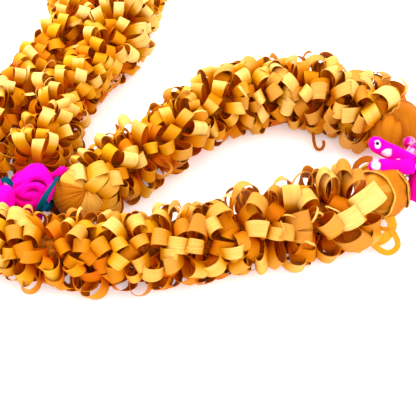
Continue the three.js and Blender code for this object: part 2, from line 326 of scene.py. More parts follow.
def veneer(name, pale, light, middle, browner, dark, root):
    """Planed wood: fine grain along the strip (U), each strip its own tint, palest at the outside.

    The pale outside is a painted highlight; inner faces and the parts near the thread take painted shade.
    """
    m = Nodes(name, 0.5, Specular_IOR_Level=0.04)
    strip = m.node("ShaderNodeUVMap", uv_map="strip").outputs["UV"]
    tint, out, inside = m.shade()[:3]
    fine = m.noise(m.stretched(strip, (0.05, 3.4, 1.0)), 1.0, 4.0, 0.7)
    broad = m.noise(m.stretched(strip, (0.035, 0.35, 1.0)), 1.0, 2.0)
    base = m.mix(m.remap(tint, 0.0, 1.0), middle, light)
    base = m.mix(m.remap(tint, -0.6, 0.1), browner, base)
    # Pale at the outermost part of each loop, less on browner strips: painted highlight where the loops' tops
    # catch the light.
    painted_highlight = m.math("MULTIPLY", m.remap(out, 0.84, 1.02), m.remap(tint, -0.4, 0.9, 0.15, 1.0))
    base = m.mix(painted_highlight, base, pale)
    base = m.mix(m.remap(broad, 0.35, 0.7, 0.0, 0.35), base, middle)
    base = m.mix(m.remap(fine, 0.46, 0.66, 0.0, 0.6), base, dark)
    # Inner faces of the loops, and the creases and shadow lines of the buds, go towards dark: painted shade.
    base = m.mix(m.remap(inside, 0.0, 1.0, 0.0, 0.6), base, dark)
    # Towards the thread the colour goes to root, more on loops underneath: painted shade deep in the strand.
    base = m.mix(m.remap(out, 0.25, 0.9, 1.0, 0.0), base, root)
    m.link(base, "Base Color")
    m.link(m.remap(fine, 0.3, 0.7, 0.4, 0.6), "Roughness")
    m.bump(fine, 0.35, 0.0004)
    return m.material


# pale is the colour of the painted highlight; dark serves both the grain and the painted shade; root is the
# painted shade near the thread.
SHAVING = veneer(
    "golden_veneer",
    pale=(0.84, 0.60, 0.19), light=(0.64, 0.36, 0.003), middle=(0.55, 0.22, 0.001), browner=(0.41, 0.12, 0.0),
    dark=(0.58, 0.14, 0.0), root=(0.57, 0.08, 0.0))
BUD_VENEER = veneer(
    "bud_veneer",
    pale=(0.80, 0.44, 0.07), light=(0.64, 0.27, 0.008), middle=(0.50, 0.155, 0.003), browner=(0.3, 0.07, 0.001),
    dark=(0.36, 0.065, 0.001), root=(0.22, 0.03, 0.001))


def packed_roots():
    """The dark ends of the shavings, pressed together; their darkness is painted shade deep between the
    loops.
    """
    m = Nodes("packed_roots", 0.75, Specular_IOR_Level=0.04)
    rough = m.noise(m.position(), 260.0, 4.0)
    m.link(m.mix(m.remap(rough, 0.35, 0.65), (0.16, 0.03, 0.0), (0.42, 0.11, 0.002)), "Base Color")
    m.bump(rough, 0.6, 0.001)
    return m.material


def cloth(name, bright, deep, pale, crease):
    """Dyed cloth. The values stored on each point shift its hue, make it paler in places and darken its
    creases with painted shade.
    """
    m = Nodes(name, 0.8, Specular_IOR_Level=0.04)
    where = m.position()
    hue, patch, fold = m.shade()[:3]
    blotch = m.noise(where, 60.0)
    weave = m.noise(where, 2600.0, 2.0)
    base = m.mix(m.remap(m.math("ADD", blotch, hue), 0.8, 1.2), bright, deep)
    base = m.mix(m.remap(m.math("ADD", m.noise(where, 150.0), patch), 0.95, 1.2), base, pale)
    # Towards crease where the third stored value is high: painted shade in folds and creases.
    base = m.mix(fold, base, crease)
    m.link(base, "Base Color")
    m.link(m.remap(weave, 0.3, 0.7, 0.7, 0.92), "Roughness")
    m.bump(weave, 0.3, 0.0002)
    return m.material


# crease is the colour of the painted shade in folds; deep is a random blotch colour that also gives painted
# shade on the puffs' lower sides.
MAGENTA = cloth(
    "magenta_cloth", bright=(0.88, 0.0, 0.42), deep=(0.80, 0.0, 0.17), pale=(0.80, 0.70, 0.70),
    crease=(0.16, 0.0, 0.03))
TEAL = cloth(
    "teal_ribbon", bright=(0.0, 0.055, 0.09), deep=(0.0, 0.09, 0.22), pale=(0.25, 0.35, 0.4),
    crease=(0.0, 0.015, 0.03))


def cotton():
    m = Nodes("cotton", 0.9)
    fibre = m.noise(m.position(), 1500.0)
    m.link(m.mix(m.remap(fibre, 0.3, 0.7), (0.62, 0.52, 0.38), (0.85, 0.80, 0.70)), "Base Color")
    m.bump(fibre, 0.5, 0.0003)
    return m.material


COTTON = cotton()
ROOTS = packed_roots()


# ---- Shavings: thin strips folded into loops, standing on the thread ----
LOOP_STATIONS = 23
LOWEST = 0.3
# A shaving counts as 0 in how far out it is at this distance from the thread, and as 1 at its usual reach.
SHADE_FROM = 6.0


def loop_strips(loops):
    """Corners, faces, UVs and shading of folded strips. Each entry of loops has one value per strip."""
    of = {key: value[:, None, None] for key, value in loops.items()}
    edge, skin = np.array([-1, 1, 1, -1]), np.array([1, 1, -1, -1])

    def bulge(t):
        return np.sin(t) * np.sin(t / 2) ** of["pinch"]

    t = np.linspace(0.16, TURN - 0.16, LOOP_STATIONS)[:, None]
    half_turn = np.linspace(0, math.pi, 60)[:, None]
    x = of["spread"] * bulge(t) / bulge(half_turn).max(1, keepdims=True)
    rise = ((1 - np.cos(t)) / 2) ** of["flat"]
    y = of["root"] + (of["tip"] - of["root"]) * rise
    dx, dy = np.gradient(x, axis=1), np.gradient(y, axis=1)
    step = np.hypot(dx, dy)
    offset = of["thick"] / 2 * skin / step
    cx = (x + dy * offset) * (1 + of["cone"] * edge)
    cy = y - dx * offset + of["slant"] * edge * rise
    cx = cx + of["lean"] * (cy - of["root"])
    cz = edge * of["width"] / 2 * (0.7 + 0.3 * np.sin(t / 2) ** 2)
    cz = cz + of["side_lean"] * (cy - of["root"])
    uv = [np.cumsum(step, axis=1) + of["seed"] * 90 + 0 * cx, cz + of["seed"] * 37]
    cos, sin = np.cos(of["twist"]), np.sin(of["twist"])
    corners = near(of["s"] + cx * cos - cz * sin, of["angle"] + 0 * cx, cy, cx * sin + cz * cos)
    corners[..., 2] = np.maximum(corners[..., 2], LOWEST)
    # far sets the painted highlight at the tips and the painted shade near the thread; shadow lowers it on
    # loops underneath. skin < 0 marks the inner skin for painted shade.
    far = (y - SHADE_FROM) / (of["usual"] - SHADE_FROM) - of["shadow"]
    shade = [np.broadcast_to(grid, cx.shape) for grid in (of["tint"], far, skin < 0)]

    index = np.arange(corners[0, ..., 0].size).reshape(LOOP_STATIONS, len(edge))
    one = np.vstack([quads(index, wrap=(0, 1)), index[0][::-1], index[-1]])
    faces = one + np.arange(len(corners))[:, None, None] * index.size
    return corners, faces.reshape(-1, 4), np.stack(uv, -1), np.stack(shade, -1)


# Room left at a bud and at the table, how far apart two strands usually lie where they are neighbours, and
# a distance that stands for no limit.
BUD_GAP = 1.5
TABLE_GAP = 0.5
NEIGHBOUR_DISTANCE = 40.0
FAR = 99.0


def occupied(strand):
    """Points in plan that this strand's loops keep away from, with how far what is there reaches."""
    centres, reaches = [], []
    for other in STRANDS:
        if other is not strand:
            s = np.arange(other["from"], other["to"], 5.0)
            centres.append(on_route(s)[0])
            reaches.append(np.full(len(s), STRAND_REACH))
        for end in other["buds"]:
            centres.append(on_route(np.array([other["bud_s"][end]]))[0])
            reaches.append(np.array([BUD_RADIUS + BUD_GAP]))
    return np.vstack(centres), np.concatenate(reaches)


def tip_limits(strand, s, angle, width):
    """How far out each loop may stand before it meets the table or a neighbour's space."""
    at, along = on_route(s)
    out = np.stack([-along[:, 1] * np.cos(angle), along[:, 0] * np.cos(angle)], -1)
    down = -np.sin(angle)
    room = AXIS_HEIGHT - TABLE_GAP - 0.3 * width * np.abs(np.cos(angle))
    above_table = np.where(down > 0, room / np.maximum(down, 1e-3), FAR)
    # The ground between two circles is divided by the line on which they cross, less half a loop's width.
    centres, reaches = occupied(strand)
    apart = centres[None] - at[:, None]
    towards = (apart * out[:, None]).sum(-1)
    divide = ((apart**2).sum(-1) + STRAND_REACH**2 - reaches[None] ** 2) / 2
    divide = divide - width[:, None] / 2 * NEIGHBOUR_DISTANCE
    beside = np.where(towards > 1e-6, divide / np.maximum(towards, 1e-6), FAR)
    return np.minimum(np.minimum(above_table, FAR), beside.min(1))


def spread_evenly(s, angle, low, high, radius, rounds=40):
    """Pushes points on a strand's surface apart until they are about evenly spaced."""
    wish = math.sqrt((high - low) * TURN * radius / len(s)) * 1.05
    for _ in range(rounds):
        ds = s[:, None] - s[None]
        da = (angle[:, None] - angle[None] + math.pi) % TURN - math.pi
        gap = np.hypot(ds, da * radius)
        np.fill_diagonal(gap, 1e9)
        push = np.clip(1 - gap / wish, 0, None) * 0.25 * wish / gap
        s = np.clip(s + (push * ds).sum(1), low, high)
        angle = angle + (push * da).sum(1)
    return s, angle


# What a loop is like unless something else is said: where it starts, its thickness, how its sides bulge
# (pinch, flat, cone, slant), how it leans and turns, and what its shade is measured with.
PLAIN_LOOP = dict(
    root=4.5, thick=0.5, pinch=0.7, flat=0.85, cone=0.05, slant=0.5, lean=0.0, side_lean=0.0, twist=0.0,
    shadow=0.0, usual=STRAND_REACH)
# Loops listed one by one. Each: the end of the strand, how far inside it, the angle in degrees, the width,
# half the spread, how far out the tip is, the twist, the tint, and where it isn't like a plain loop.
HAND_LOOPS = {
    "neck_right": [
        ("end", 12.0, 190, 10, 5, 22, 0.3, 0.5, dict(flat=0.6)),
        ("end", 20.0, 176, 9, 4.5, 22, -0.6, 0.7, dict(flat=0.6)),
    ],
    "neck_left": [("start", 9.0, 168, 9, 4.5, 22, 0.2, 0.6, dict(flat=0.6))],
    "drop_left": [
        ("start", 7.5, 61, 14.5, 10, 29, -0.2, 0.75, dict(pinch=0.4, flat=0.6)),
        ("start", 21.0, 45, 13, 6.5, 29, -0.32, 0.7, dict(pinch=0.5, flat=0.65)),
    ],
    "drop_right": [
        ("start", -13.0, 126, 8.5, 5.4, 24.5, -0.45, 0.5, dict(pinch=0.5, flat=0.7)),
        ("start", -9.5, 147, 9, 5.2, 24.5, -0.3, 0.35, dict(pinch=0.5, flat=0.7)),
        ("start", -8.0, 112, 10, 6.5, 25, 0.4, 0.3, {}),
        ("start", -11.0, 172, 7, 4.5, 24, 0.3, 0.3, {}),
        ("start", -3.0, 140, 10, 6.5, 26, 0.5, 0.5, {}),
        ("end", 2.0, 95, 11, 9.5, 31, 0.2, 0.8, dict(lean=0.45)),
        ("end", 3.0, 60, 6, 8.5, 31, 0.1, 0.7, dict(lean=0.35)),
        ("end", 2.0, 128, 12, 7.5, 25, 0.5, 0.6, dict(lean=0.35)),
        ("end", 9.0, 192, 11, 7.5, 31, 0.4, -0.1, dict(flat=0.8)),
        # This loop has a low tint: painted shade under the bottom tie's ribbon.
        ("end", 2.0, 200, 12, 8, 30, -0.3, -0.4, {}),
    ],
}
# How many loops lean over a bud, and how far at most; and how much of a strand's end is left bare.
USUAL_SPILL = (15, 0.75)
SPILLS = {("drop_left", "start"): (9, 0.4), ("drop_left", "end"): (15, 0.45)}
BARE_ENDS = {("drop_left", "start"): 12.0}


def loop_set(count, **values):
    """The shapes of `count` loops: those of a plain loop, and the values given, as numbers or arrays."""
    return {key: np.broadcast_to(value, count) for key, value in {**PLAIN_LOOP, **values}.items()}


def hand_loops(strand):
    """The shapes of the strand's loops that are listed one by one."""
    for end, inset, degrees, width, spread, tip, twist, tint, others in HAND_LOOPS[strand["name"]]:
        s = strand["from"] + inset if end == "start" else strand["to"] - inset
        yield dict(
            s=s, angle=math.radians(degrees), width=width, spread=spread, tip=tip, twist=twist, tint=tint,
            **others)


def bare(strand, end):
    """How much of that end of the strand has no loops."""
    return BARE_ENDS.get((strand["name"], end), 0.0)


def spill_loops(strand):
    """Loops at the strand's ends that lean over the buds: lengths, angles and leans."""
    s, angle, lean = [], [], []
    for end in strand["buds"]:
        sign, edge = (1, strand["from"]) if end == "start" else (-1, strand["to"])
        count, most = SPILLS.get((strand["name"], end), USUAL_SPILL)
        for i in range(count):
            s.append(edge + sign * (rng.uniform(0.5, 3.5) + bare(strand, end)))
            angle.append(TURN * (i + rng.uniform(0.2, 0.8)) / count)
            lean.append(-sign * rng.uniform(0.3, 1.0) * most)
    return np.array(s), np.array(angle), np.array(lean)


# Where a strand is slimmer or fuller: shares of its length, angles in degrees, and the reach's factor.
GIRTHS = {
    "neck_right": [(0.53, 0.74, -40, 60, 0.78), (0.26, 0.44, -40, 60, 1.14)],
    "drop_right": [(0.0, 0.3, 0, 60, 0.85), (0.25, 0.85, 150, 230, 0.92), (0.45, 0.7, 50, 110, 0.96)],
    "drop_left": [(0.0, 0.05, -30, 44, 0.88), (0.34, 0.42, -50, 30, 0.94), (0.96, 1.0, -60, 30, 0.7),
                  (0.02, 0.3, 90, 180, 1.13), (0.34, 0.48, 90, 170, 0.93)],
    "neck_left": [(0.33, 0.8, -60, 70, 0.56)],
}


def girth(strand, share, angle):
    """How much further, or less far, than usual each loop reaches."""
    degrees = np.degrees(angle)
    factor = np.ones(len(share))
    for low, high, start, end, value in GIRTHS[strand["name"]]:
        along = np.clip(np.minimum(share - low, high - share) / 0.05 + 1, 0, 1)
        middle, half = (start + end) / 2, (end - start) / 2
        away = np.abs((degrees - middle + 180) % 360 - 180)
        factor *= 1 + (value - 1) * along * np.clip((half - away) / 12 + 1, 0, 1)
    return factor


LOOPS_PER_STRAND = {"neck_right": 300, "drop_right": 270, "drop_left": 270, "neck_left": 300}
EDGE_MARGIN = 1.5
# A loop's width and half its spread lie between these, and so does its reach, as a share of the usual.
WIDTHS = (7.4, 9.8)
HALF_SPREADS = (4.1, 6.0)
FULL_REACH = (0.88, 1.09)
# The share of loops that stay short, deep between the others, and the least that any loop reaches.
SHORT_SHARE = 0.22
SHORT_REACH = (0.66, 0.82)
SHORTEST_TIP = 12.0
# Loops within this share of a listed loop's width of it reach no further than this share of its tip. The
# way round the strand is measured at this distance from the thread.
CLEAR_SHARE = 0.9
UNDER_SHARE = 0.76
CLEAR_RADIUS = 22.0


def strand_loops(strand):
    """All the loops of a strand: those spread over it, those that lean over its buds and the listed ones."""
    count = LOOPS_PER_STRAND[strand["name"]]
    low = strand["from"] + EDGE_MARGIN + bare(strand, "start")
    high = strand["to"] - EDGE_MARGIN - bare(strand, "end")
    s = rng.uniform(low, high, count)
    angle = rng.uniform(-math.pi, math.pi, count)
    s, angle = spread_evenly(s, angle, low + 1, high - 1, STRAND_REACH * 0.9)
    spill_s, spill_angle, spill_lean = spill_loops(strand)
    s, angle = np.concatenate([s, spill_s]), np.concatenate([angle, spill_angle])
    spilt = np.arange(len(s)) >= count
    count = len(s)

    share = np.clip((s - low) / (high - low), 0, 1)
    size, age = (np.interp(share, (0, 1), strand[key]) for key in ("sizes", "ages"))
    short = rng.random(count) < SHORT_SHARE
    under = np.clip(0.45 - np.sin(angle), 0, 1)
    width = size * rng.uniform(*WIDTHS, count) * (1 + 0.12 * under)
    limit = tip_limits(strand, s, angle, width)
    fullness = girth(strand, share, angle)
    reach = np.where(short, rng.uniform(*SHORT_REACH, count), rng.uniform(*FULL_REACH, count))
    reach *= STRAND_REACH * (1 + 0.5 * np.maximum(size - 1, 0)) * fullness
    tip = np.minimum(reach, limit * rng.uniform(0.9, 1.0, count))
    for hand in hand_loops(strand):
        turn = (angle - hand["angle"] + math.pi) % TURN - math.pi
        close = np.hypot(s - hand["s"], turn * CLEAR_RADIUS) < CLEAR_SHARE * hand["width"]
        tip = np.where(close, np.minimum(tip, UNDER_SHARE * hand["tip"]), tip)

    edge_room = np.minimum(s - strand["from"], strand["to"] - s)
    room = np.where(spilt, 9.0, np.maximum(edge_room + 1.5, 3.0))
    calm = np.where(spilt, 0.6, np.clip(edge_room / 14, 0.3, 1))
    lean = rng.normal(0, 0.2, count) * calm
    lean[spilt] = spill_lean
    groups = [loop_set(
        count, s=s, angle=angle, width=width, tip=np.maximum(tip, SHORTEST_TIP),
        spread=np.minimum(size * rng.uniform(*HALF_SPREADS, count) * (1 + 0.2 * under), room),
        thick=rng.uniform(0.35, 0.55, count), pinch=rng.uniform(0.4, 1.5, count),
        flat=rng.uniform(0.72, 1.0, count), cone=rng.uniform(-0.16, 0.16, count),
        slant=rng.uniform(-1.4, 1.4, count), lean=lean, side_lean=rng.normal(0, 0.16, count),
        twist=rng.normal(0, 0.5, count) * calm, tint=rng.random(count) * 1.1 - age, seed=rng.random(count),
        shadow=0.22 * under, usual=STRAND_REACH * np.minimum(fullness, 1))]
    groups += [loop_set(1, seed=rng.random(), **hand) for hand in hand_loops(strand)]
    return {key: np.concatenate([group[key] for group in groups]) for key in groups[0]}


def strand_wisps(strand, count=15):
    """Thin slivers, curled up on their own above the loops."""
    s = rng.uniform(strand["from"] + 4, strand["to"] - 4, count)
    angle = math.pi / 2 + rng.uniform(-1.3, 1.3, count)
    reach = STRAND_REACH * girth(strand, (s - strand["from"]) / (strand["to"] - strand["from"]), angle)
    return loop_set(
        count, s=s, angle=angle, root=8.0, thick=0.35, cone=0.0,
        width=rng.uniform(0.5, 2.4, count), tip=reach * rng.uniform(1.02, 1.15, count),
        spread=rng.uniform(3.0, 6.5, count), pinch=rng.uniform(0.6, 1.8, count),
        flat=rng.uniform(0.7, 1.0, count), slant=rng.uniform(-2, 2, count), lean=rng.normal(0, 0.3, count),
        side_lean=rng.normal(0, 0.3, count), twist=rng.normal(0, 0.7, count), tint=rng.random(count),
        seed=rng.random(count))


def core_mesh(strand, radius=9.0):
    """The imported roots: a bar round the thread with an uneven, ribbed skin."""
    sides, step = 26, 1.6
    s = np.arange(strand["from"], strand["to"] + step / 2, step)
    angle = np.linspace(0, TURN, sides, endpoint=False)
    bumps = radius * (0.78 + 0.4 * rng.random((len(s), sides)))
    inset = np.minimum(s - s[0], s[-1] - s)
    bumps *= (0.35 + 0.65 * np.clip(inset / 12, 0, 1))[:, None]
    skin = near(s[:, None] + 0 * angle, angle[None] + 0 * s[:, None], bumps).reshape(-1, 3)
    ends = near(s[[0, -1]], np.zeros(2), np.zeros(2))
    index = np.arange(len(skin)).reshape(len(s), sides)
    faces = quads(index, wrap=(0, 1)).tolist()
    faces += [[len(skin), b, a] for a, b in zip(index[0], np.roll(index[0], -1))]
    faces += [[len(skin) + 1, a, b] for a, b in zip(index[-1], np.roll(index[-1], -1))]
    return np.vstack([skin, ends]), faces


def make_strand(strand):
    """A strand's shavings and packed roots, from random draws of its own."""
    global rng
    rng = np.random.default_rng(strand["seed"])
    name = strand["name"]
    pile = Pile()
    for loops in (strand_loops(strand), strand_wisps(strand)):
        pile.add(*loop_strips(loops))
    sections = [f"{name}_loops_{i + 1}" for i in range(SECTIONS)]
    place(pile.build(f"{name}_shavings", SHAVING), "shaving", *sections)
    vertices, faces = core_mesh(strand)
    blank = np.zeros((len(vertices), 3))
    core = make_object(f"{name}_roots", vertices, faces, ROOTS, blank[:, :2], blank, sharp=180)
    place(core, "shaving")


def add_sheet(pile, points, thickness, tint=0.5, depth=1.0, crease=0.0, scale=1.0):
    """Adds a sheet whose middle is a grid of points; the shading values are numbers or grids."""
    rows, columns = points.shape[:2]
    u, v = np.meshgrid(np.arange(columns) * scale, np.arange(rows) * scale)
    seed = rng.random() * 300
    uv = np.broadcast_to(np.stack([v + seed, u + seed], -1)[None], (2, rows, columns, 2))
    shade = np.stack([np.broadcast_to(value, (2, rows, columns)) for value in (tint, depth, crease)], -1)
    pile.add(slab(points, thickness), slab_faces(rows, columns), uv, shade)


def phases(count):
    """Random places to start waves from, in radians."""
    return rng.uniform(0, 6.28, count)


# ---- Buds: wide shavings gathered at the tie and opening like petals towards the strand ----
def ball_point(s, a, angle, out):
    """A point of a bud: a runs from -1 to 1 along the thread, `out` is its distance from the thread."""
    return near(s + BUD_HALF_LENGTH * a, angle, out)


def bud_core(pile, s, sign, pleats, depth, turn, contrast):
    """The ball inside, sharply pleated, its pleats meeting at both gathers."""
    a, angle = grid_axes((-1, 1, 40), (0, TURN, 145))
    angle = angle + turn * sign * a
    drift = 1.6 * np.sin(2 * angle + 2 * a) + 0.9 * np.sin(5 * angle + 1)
    fold = np.abs(np.sin(pleats / 2 * angle + drift)) ** 0.45
    shallow = 0.55 + 0.45 * np.sin(3 * angle + 4 * a)
    out = BUD_RADIUS * np.sqrt(np.clip(1 - a**2, 0, 1)) * (0.98 - depth * shallow * (1 - fold))
    # Lower tint and depth in the pleats' valleys: painted shade in the folds.
    pleat_shade = contrast * (fold - 1)
    add_sheet(pile, ball_point(s, a * 0.98, angle, np.maximum(out, 1.2)), 0.8, tint=0.75 + 0.5 * pleat_shade,
              depth=0.95 + 0.5 * pleat_shade)


def bud_wrap(pile, s, sign, edge, lift, curl, ragged, gather, tint):
    """A wide shaving gathered at one end of the bud and laid over it up to its free edge.

    edge holds pairs: an angle in degrees, and how far along the bud the free edge is there, from -1 to 1.
    """
    degrees, reach = zip(*edge)
    columns = max(21, int((degrees[-1] - degrees[0]) / 2.5))
    t, angle = grid_axes((0, 1, 36), (degrees[0], degrees[-1], columns))
    angle = np.radians(angle)
    rim = smooth(np.interp(np.degrees(angle[0]), degrees, reach), 30)
    phase = phases(4)
    torn = np.sin(9 * angle + phase[0]) + 0.8 * np.sin(21 * angle + phase[1]) + 0.5 * np.sin(47 * angle)
    rim = rim[None] + ragged * torn
    a = -0.97 + t * (rim + 0.97)
    ball = BUD_RADIUS * np.sqrt(np.clip(1 - a**2, 0, 1))
    full = BUD_RADIUS * (1 - np.clip(a, 0, 0.95) ** 2) ** 0.42
    radius = np.where(a < 0, ball, full)
    pleat = gather * np.sin(13 * angle + phase[2] + 1.5 * np.sin(3 * angle)) * (1 - t) ** 1.3
    bump = 0.35 * (np.sin(4 * angle + 5 * a + phase[3]) + np.sin(7 * angle - 6 * a + phase[0]))
    out = radius * (0.98 + 0.045 * pleat) + lift * t**0.4 + curl * t**8 + bump * np.sqrt(t)
    points = ball_point(s, sign * a, angle + 0 * t, np.maximum(out, 1.4))
    if sign < 0:
        points = points[:, ::-1]
    # A dark line just inside the free edge and darker hollows: painted shadow. The free edge itself is paler:
    # painted highlight.
    dark = 0.9 * np.exp(-(((t - 0.9) / 0.035) ** 2)) + 0.3 * np.maximum(-bump, 0)
    add_sheet(
        pile, points, 0.6, tint=tint + 0.9 * t**16 - 0.25 * pleat, depth=0.82 + 0.4 * t**16 + 0.12 * pleat,
        crease=np.clip(dark, 0, 1), scale=0.8)


def bud_fan(
    pile, s, pole, degrees, reach, lift, creases=(), tint=0.3, pale=0.85, curl=0.4, ragged=0.0, rim=1.0,
):
    """A shaving gathered at one point of the bud's skin and spread from there like a fan.

    pole is the gather's direction from the bud's middle. degrees and reach give the free edge: the
    angle round the gather, from level right, and how many degrees of the ball away from it. creases
    are the angles of the sharp folds that run out from the gather. rim is how much paler the free edge
    is, a painted highlight; where it is below 0, the edge and both sides are darker instead, a painted
    shade.
    """
    pole = unit(pole)
    right = square_to(pole, (1, 0, 0))
    above = np.cross(pole, right)
    columns = max(21, int((degrees[-1] - degrees[0]) / 1.2))
    t, turn = grid_axes((0, 1, 40), (degrees[0], degrees[-1], columns))
    edge = smooth(np.radians(np.interp(turn[0], degrees, reach)), 8)
    edge = edge + ragged * (np.sin(turn[0] / 4.1) + 0.7 * np.sin(turn[0] / 2.3 + 1))
    away = 0.05 + t * (edge[None] - 0.05)
    phase = phases(3)
    bent = turn + 3.0 * np.sin(2.2 * away + phase[0]) * t
    fold = sum((np.exp(-(((bent - crease) / 2.6) ** 2)) for crease in creases), np.zeros_like(bent))
    fold = np.clip(fold, 0, 1) * (0.55 + 0.45 * np.sin(3 * away + phase[1]))
    ruck = np.sin(turn / 5.2 + phase[2] + 1.5 * np.sin(turn / 17)) * np.exp(-3.5 * t)
    radius = BUD_RADIUS + lift * t**0.5 - 1.2 * fold * np.exp(-1.1 * t) + 0.3 * ruck + curl * t**9
    radius = radius + 0.25 * np.sin(turn / 14 + 3 * away + phase[1])
    spoke = span((np.cos(np.radians(turn)), right), (np.sin(np.radians(turn)), above))
    outward = span((np.cos(away), pole), (np.sin(away), spoke))
    middle = near(np.array(s, float), 0.0, 0.0)
    points = middle + radius[..., None] * outward
    points[..., 2] = np.maximum(points[..., 2], 1.0)
    column = np.arange(columns)
    # Darker along the creases, in the rucks' hollows and, where rim is below 0, at the edges and sides:
    # painted shade. Lighter on the rucks' ridges and, where rim is above 0, at the free edge: painted
    # highlight.
    border = np.maximum(t**20, np.exp(-np.minimum(column, column[::-1]) / 1.2)[None] * (rim < 0))
    dark = fold * (1.1 - 0.5 * t) + 0.2 * np.maximum(-ruck, 0) + border * max(-rim, 0)
    add_sheet(
        pile, points, 0.5, tint=tint + 0.15 * ruck + 0.5 * rim * border, depth=pale + 0.15 * rim * border,
        crease=np.clip(dark, 0, 1), scale=0.07)


def petal_edge(middle, half, reach):
    """The rounded edge of a petal round `middle`, both in degrees."""
    steps = np.linspace(-1, 1, 9)
    return [(middle + half * u, reach - 0.35 * (1 + reach) * abs(u) ** 2.5) for u in steps]


# Each wrap: the edge, its lift off the ball, its curl, how ragged it is.
ROUND_WRAPS = [
    (petal_edge(20, 60, 0.5), 0.5, 0.8, 0.01), (petal_edge(95, 60, 0.3), 1.2, 0.8, 0.01),
    (petal_edge(165, 55, 0.5), 0.8, 1.0, 0.01), (petal_edge(235, 60, 0.4), 1.3, 0.6, 0.01),
    (petal_edge(305, 55, 0.55), 0.9, 0.8, 0.01),
]
PLAIN_BUD = dict(flip=False, contrast=1.0, gather=1.0, tints=(0.1, 0.6), fans=())
BUD_LOOKS = {
    ("neck_right", "start"): dict(pleats=22, depth=0.06, turn=0.4, wraps=ROUND_WRAPS),
    ("drop_right", "start"): dict(
        pleats=12, depth=0.05, turn=0.7, flip=True,
        wraps=[(petal_edge(300, 55, 0.5), 0.6, 0.8, 0.0), (petal_edge(20, 55, 0.4), 0.9, 0.8, 0.0)],
        fan_pole=(5.5, -11.4, 14.1),
        fans=[
            dict(degrees=(262, 290, 320, 350, 380), reach=(100, 98, 92, 84, 70), lift=0.5, tint=0.2,
                 pale=0.75),
            dict(degrees=(110, 130, 150, 166), reach=(50, 62, 70, 68), lift=0.9, tint=0.7, pale=1.0),
            dict(degrees=(160, 180, 210, 240, 262), reach=(68, 80, 86, 90, 92), lift=2.1, tint=0.3, pale=0.8,
                 creases=(172, 195, 207, 212, 231, 236, 249)),
            dict(degrees=(249, 262, 275, 290, 303, 316, 330), reach=(92, 95, 94, 82, 64, 46, 16), lift=3.4,
                 tint=1.0, pale=1.0, curl=0.8),
        ]),
    ("drop_right", "end"): dict(
        pleats=8, depth=0.02, turn=0.4, tints=(0.0, 0.3), gather=0.5,
        wraps=[
            ([(0, 0.6), (60, 0.45), (90, 0.1), (125, 0.05), (165, 0.2), (200, 0.6), (270, 0.5), (360, 0.6)],
             1.4, 0.5, 0.035),
            (petal_edge(300, 60, -0.1), 2.0, 0.5, 0.02)],
        fan_pole=(-5.6, -17.3, -5.6),
        fans=[
            dict(degrees=(66, 69, 76, 87, 108, 121, 134, 152, 185, 200), lift=2.4, tint=0.35, ragged=0.04,
                 reach=(30, 44, 60, 73, 85, 77, 69, 63, 59, 45), creases=(128,), rim=-1.6),
        ]),
    ("drop_left", "start"): dict(
        pleats=8, depth=0.03, turn=0.6, tints=(0.0, 0.3), gather=0.9, contrast=0.7,
        wraps=[
            ([(-20, 0.74), (8, 0.62), (30, 0.38), (50, 0.25), (75, 0.2), (100, 0.28), (124, 0.45), (150, 0.6),
              (180, 0.7)], 1.6, 0.9, 0.004),
            (petal_edge(150, 34, 0.5), 2.4, 1.4, 0.01), (petal_edge(8, 44, -0.42), 3.0, 0.5, 0.0),
            (petal_edge(72, 46, -0.5), 2.4, 0.3, 0.01), (petal_edge(215, 60, 0.5), 1.2, 0.8, 0.0),
            (petal_edge(300, 60, 0.4), 1.0, 0.8, 0.0)]),
    ("drop_left", "end"): dict(pleats=22, depth=0.06, turn=0.5, wraps=ROUND_WRAPS),
    ("neck_left", "end"): dict(pleats=22, depth=0.06, turn=0.3, wraps=ROUND_WRAPS),
}


def make_bud(strand, end):
    look = PLAIN_BUD | BUD_LOOKS[strand["name"], end]
    pile = Pile()
    s = strand["bud_s"][end]
    sign = 1 if (end == "start") != look["flip"] else -1
    bud_core(pile, s, sign, look["pleats"], look["depth"], look["turn"], look["contrast"])
    for edge, lift, curl, ragged in look["wraps"]:
        tint = rng.uniform(*look["tints"])
        bud_wrap(pile, s, sign, edge, lift, curl, ragged, look["gather"], tint)
    for fan in look["fans"]:
        bud_fan(pile, s, look["fan_pole"], **fan)
    name = f"{strand['name']}_bud_{end}"
    place(pile.build(f"{name}_wraps", BUD_VENEER, sharp=55), "bud_shaving", name)


# ---- Bows: rolls, puffs and loops of dyed cloth, bound to the thread ----
UP = np.array([0.0, 0.0, 1.0])
# Towards the camera, 50 degrees above level.
TOWARDS_VIEW = np.array([0.0, -0.643, 0.766])


def cloth_loop(
    pile, origin, stem, side, length, spread, width, thickness=1.6, crumple=0.6, hue=0.5, patch=0.0,
):
    """A folded loop of cloth strip. stem points to its tip, and side along the strip's width."""
    stem = unit(stem)
    side = square_to(stem, side)
    across = np.cross(stem, side)
    t, edge = grid_axes((0.1, TURN - 0.1, 40), (-1, 1, 11))
    profile = np.sin(t) * np.sin(t / 2) ** 0.8
    phase = phases(4)
    swell = np.sin(t / 2)
    x = spread * profile / profile.max() * (1 + 0.25 * np.sin(2.5 * edge + phase[0]))
    x = x + crumple * np.sin(4 * edge + phase[1] + t) * swell
    y = length * ((1 - np.cos(t)) / 2) ** 0.85 - 0.09 * length * edge**2 * swell
    y = y + crumple * np.sin(5 * edge + phase[2]) * swell
    z = edge * width / 2 * (0.4 + 0.6 * swell**1.3) + 0 * t
    points = origin + span((x, across), (y, stem), (z, side))
    # Darker in the crumples' valleys and towards the fold: painted shade.
    valley = np.clip(-np.sin(4 * edge + phase[1] + t) * swell - 0.4, 0, 1) * 0.5
    inner = 0.5 * (1 - swell)
    add_sheet(pile, points, thickness, tint=hue, depth=patch, crease=np.clip(valley + inner, 0, 1))


def cloth_loops(pile, origin, shapes, patch):
    """Loops from one place. Each shape: the directions of stem and width, length, half spread, width."""
    for stem, side, length, spread, width in shapes:
        cloth_loop(pile, origin, stem, side, length, spread, width, patch=patch)


